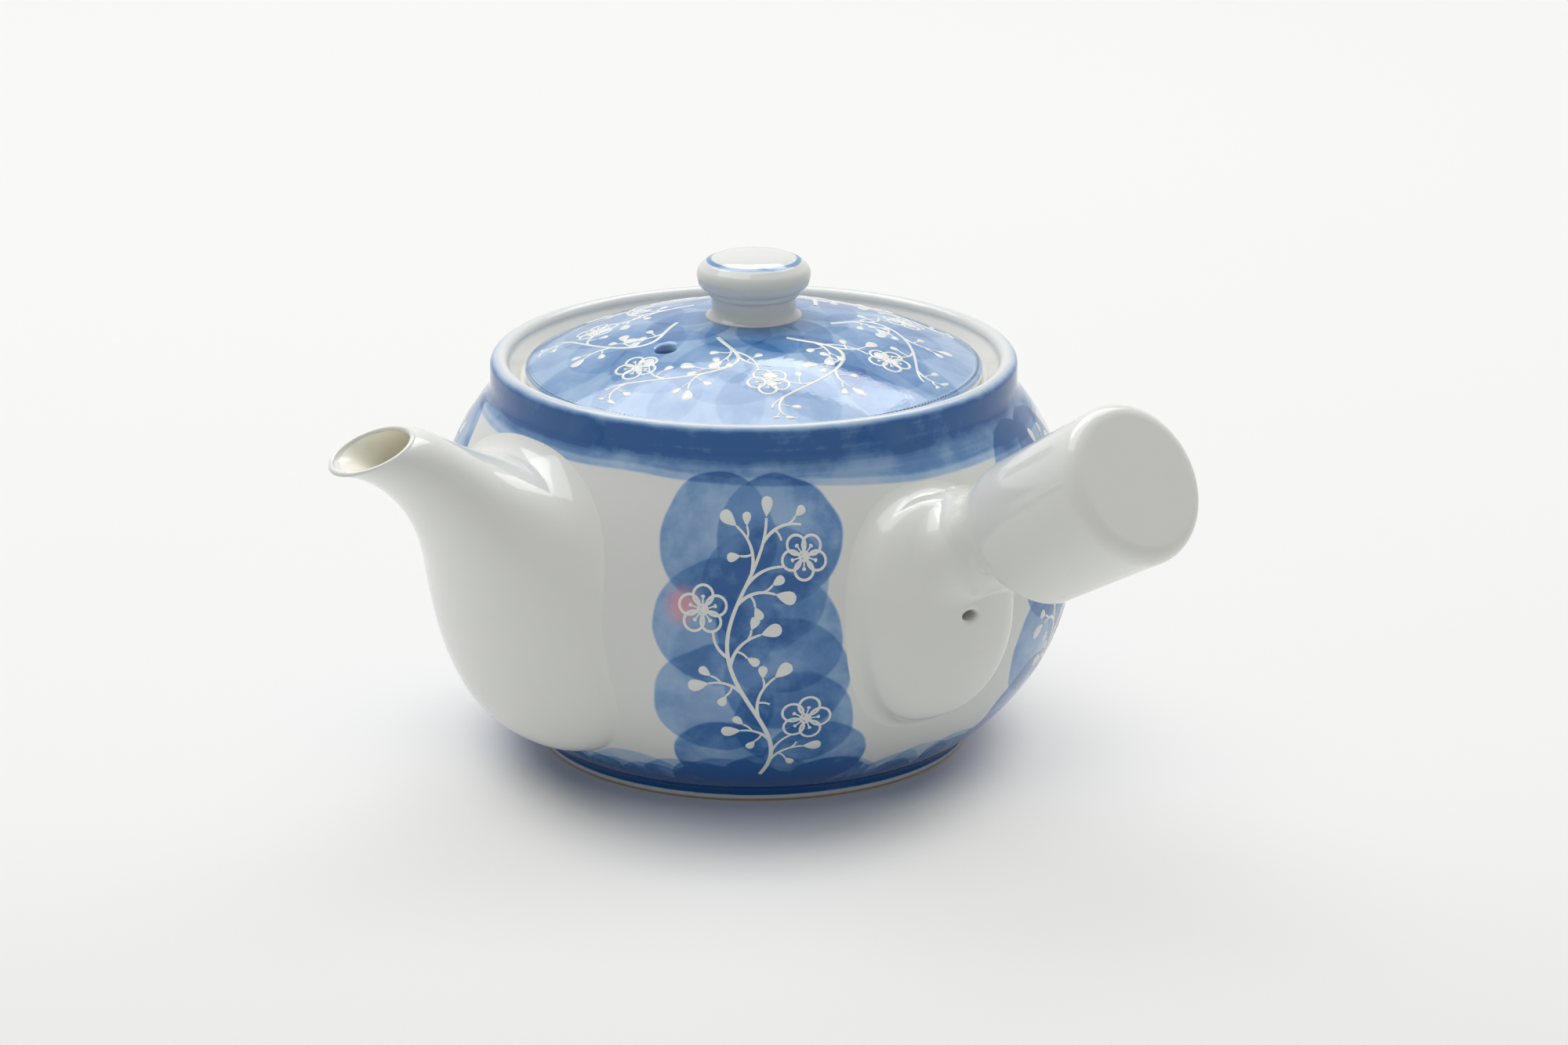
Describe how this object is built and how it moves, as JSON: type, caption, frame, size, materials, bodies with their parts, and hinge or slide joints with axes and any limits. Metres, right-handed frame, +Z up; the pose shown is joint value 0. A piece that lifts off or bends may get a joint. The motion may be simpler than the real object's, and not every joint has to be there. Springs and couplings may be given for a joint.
{
  "type": "side-handled teapot",
  "caption": "White glazed porcelain teapot with a round bowl, wide-based spout, hollow side handle, sunk domed lid with a round knob, and a push-in steel strainer behind the spout.",
  "frame": {"origin": "centre of the foot ring, on the table", "axes": "+Z up along the bowl's axis; the spout points along -X; the handle stands a little over a right angle from the spout, close to -Y"},
  "size_m": [0.1529, 0.167, 0.0932],
  "materials": {
    "porcelain": "clear glossy glaze over white porcelain, with blue underglaze washes on the bowl",
    "lid_glaze": "clear glossy glaze over mottled blue underglaze washes with white sprigs",
    "gasket": "satin translucent silicone",
    "steel": "satin stainless steel"
  },
  "bodies": {
    "pot": {"pot_body": "porcelain", "spout": "porcelain", "handle_boss": "porcelain", "handle": "porcelain"},
    "lid": {"lid": "lid_glaze", "knob": "porcelain"},
    "strainer": {"strainer_gasket": "gasket", "strainer_rim": "steel", "strainer_mesh": "steel"}
  },
  "joints": [
    {"name": "lid_lift", "type": "slide", "parent": "pot", "child": "lid", "axis": [0, 0, 1], "range_m": [0, 0.06]},
    {"name": "strainer_pull", "type": "slide", "parent": "pot", "child": "strainer", "axis": [1, 0, 0], "range_m": [0, 0.03]}
  ]
}
